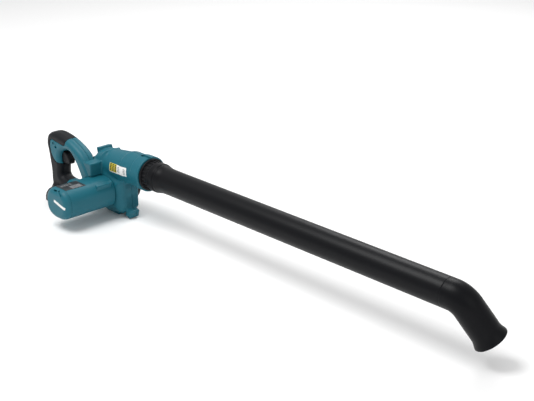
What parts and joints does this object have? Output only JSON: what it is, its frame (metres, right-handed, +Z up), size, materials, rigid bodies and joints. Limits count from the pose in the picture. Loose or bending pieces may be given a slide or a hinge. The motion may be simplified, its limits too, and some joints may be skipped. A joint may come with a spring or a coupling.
{
  "type": "leaf blower",
  "caption": "Hand-held cordless garden blower with a side motor housing, looped grip, battery base and long straight nozzle that ends in a bent flared tip.",
  "frame": {"origin": "on the underside of the foot, straight below the fan axis, in the middle plane of the fan casing where its two halves meet", "axes": "+X forward along the nozzle, +Y to the user's left along the fan axis and out of the air intake, +Z up"},
  "size_m": [1.0726, 0.2043, 0.1495],
  "materials": {
    "teal_case": "satin, fine texture",
    "black_case": "satin black",
    "soft_black": "matt elastomer",
    "tube_black": "satin black, drawn",
    "fan_black": "satin black",
    "steel": "zinc plated",
    "core_steel": "stacked sheet",
    "copper": "enamelled copper",
    "ferrite": "sintered, matt",
    "carbon": "pressed carbon, matt",
    "grey_case": "satin dark grey",
    "board_green": "lacquered",
    "lead_red": "soft insulation",
    "plate_black": "printed film",
    "label_film": "printed film",
    "white_film": "printed film"
  },
  "bodies": {
    "casing": {"scroll_right": "teal_case", "scroll_left": "teal_case", "intake_guard": "black_case", "motor_housing": "teal_case", "motor_end_cap": "teal_case", "handle_shell_right": "teal_case", "handle_shell_left": "teal_case", "soft_grip": "soft_black", "battery_base": "black_case", "terminal_block": "grey_case", "battery_terminals": "copper", "controller_board": "board_green", "trigger_spring": "steel", "switch_body": "grey_case", "motor_can": "steel", "field_magnets": "ferrite", "brush_end_bell": "grey_case", "carbon_brushes": "carbon", "front_bearing": "steel", "rear_bearing": "steel", "case_screws": "steel", "guard_screws": "steel", "motor_screws": "steel", "power_leads": "lead_red", "rating_plate": "plate_black", "duct_label": "label_film", "cap_stripe": "white_film"},
    "rotor": {"impeller": "fan_black", "impeller_nut": "steel", "motor_shaft": "steel", "armature_core": "core_steel", "armature_windings": "copper", "commutator": "copper"},
    "trigger_lever": {"trigger": "black_case"},
    "nozzle": {"nozzle_coupling": "black_case", "coupling_seal": "soft_black", "nozzle_tube": "tube_black", "nozzle_tip": "tube_black"}
  },
  "joints": [
    {"name": "rotor_spin", "type": "hinge", "parent": "casing", "child": "rotor", "pos_m": [0, 0, 0.054], "axis": [0, 1, 0], "continuous": true},
    {"name": "trigger_pull", "type": "slide", "parent": "casing", "child": "trigger_lever", "axis": [-1, 0, 0], "range_m": [0, 0.007], "stiffness_N_per_m": 400, "springref_m": -0.003, "deforming": ["trigger_spring"]},
    {"name": "nozzle_twist", "type": "hinge", "parent": "casing", "child": "nozzle", "pos_m": [0.1, 0, 0.108], "axis": [1, 0, 0], "range_deg": [0, 45]}
  ]
}
